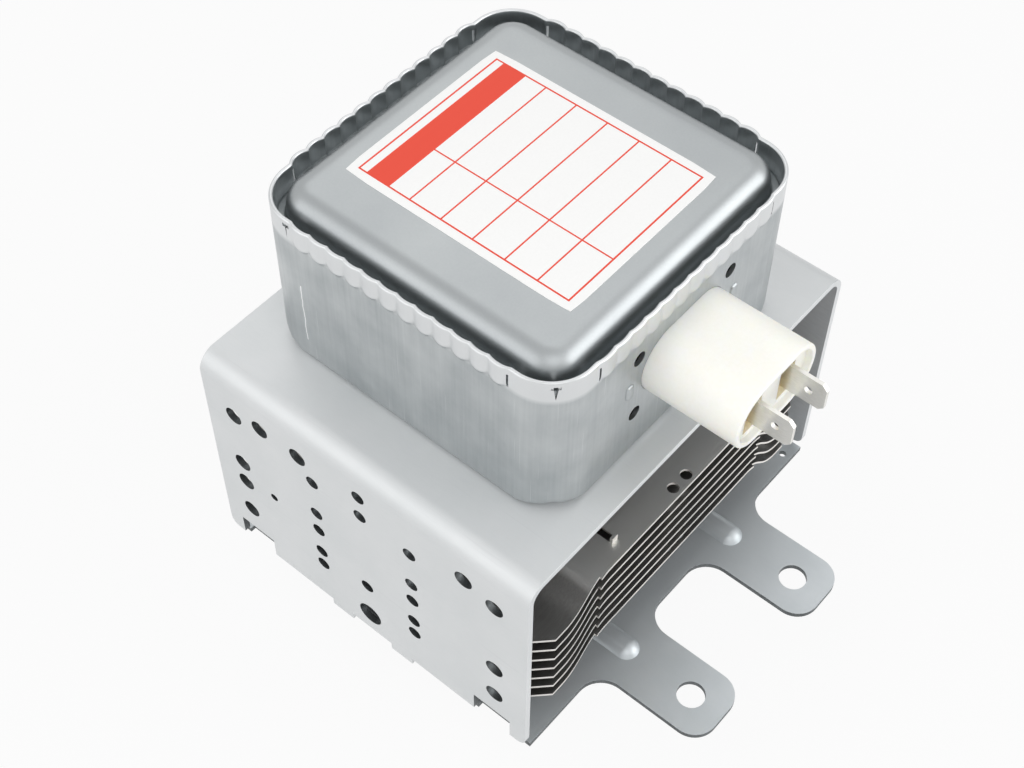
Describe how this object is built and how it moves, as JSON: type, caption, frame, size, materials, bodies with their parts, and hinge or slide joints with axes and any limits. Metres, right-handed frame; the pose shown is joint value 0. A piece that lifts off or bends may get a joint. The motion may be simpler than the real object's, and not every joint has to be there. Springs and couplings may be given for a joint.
{
  "type": "magnetron",
  "caption": "Microwave oven magnetron: steel yoke round a finned copper anode, crimped filter box with oval capacitor terminals on top and an antenna below the eared mounting plate.",
  "frame": {"origin": "centre of the mounting plate's underside, midway between the four ear holes", "axes": "+Z from the mounting face towards the filter box, -Y towards the capacitor's terminals, X across the two yoke walls"},
  "size_m": [0.095, 0.13, 0.1204],
  "materials": {
    "zinc_steel": "satin zinc-plated steel",
    "plate_steel": "satin zinc-plated steel, bluish",
    "drawn_aluminium": "deep-drawn aluminium with drawing marks",
    "fin_aluminium": "bright rolled aluminium sheet",
    "label_paper": "matt white film, unprinted text areas",
    "cap_plastic": "warm white moulded resin",
    "tin_plate": "tin-plated brass",
    "copper": "bare copper",
    "ferrite": "dark grey sintered ferrite",
    "white_ceramic": "unglazed alumina",
    "tungsten": "dull tungsten and molybdenum",
    "braid": "knitted wire mesh"
  },
  "bodies": {
    "root": {"yoke": "zinc_steel", "capacitor_flange": "zinc_steel", "upper_pole_piece": "zinc_steel", "lower_pole_piece": "zinc_steel", "upper_sleeve": "zinc_steel", "lower_sleeve": "zinc_steel", "antenna_cap": "zinc_steel", "gasket_retainer": "zinc_steel", "mounting_plate": "plate_steel", "filter_box": "drawn_aluminium", "filter_lid": "drawn_aluminium", "rating_label": "label_paper", "capacitor_housing": "cap_plastic", "capacitor_core": "white_ceramic", "ceramic_stem": "white_ceramic", "antenna_ceramic": "white_ceramic", "terminal_left": "tin_plate", "terminal_right": "tin_plate", "choke_coil_left": "copper", "choke_coil_right": "copper", "anode_cylinder": "copper", "anode_vanes": "copper", "upper_straps": "copper", "lower_straps": "copper", "antenna_lead": "copper", "exhaust_tube": "copper", "ferrite_rod_left": "ferrite", "ferrite_rod_right": "ferrite", "lower_magnet": "ferrite", "upper_magnet": "ferrite", "cathode_lead_left": "tungsten", "cathode_lead_right": "tungsten", "upper_end_hat": "tungsten", "lower_end_hat": "tungsten", "cathode_filament": "tungsten", "rf_gasket": "braid", "fin_1": "fin_aluminium", "fin_2": "fin_aluminium", "fin_3": "fin_aluminium", "fin_4": "fin_aluminium", "fin_5": "fin_aluminium", "fin_6": "fin_aluminium", "fin_7": "fin_aluminium"}
  },
  "joints": []
}
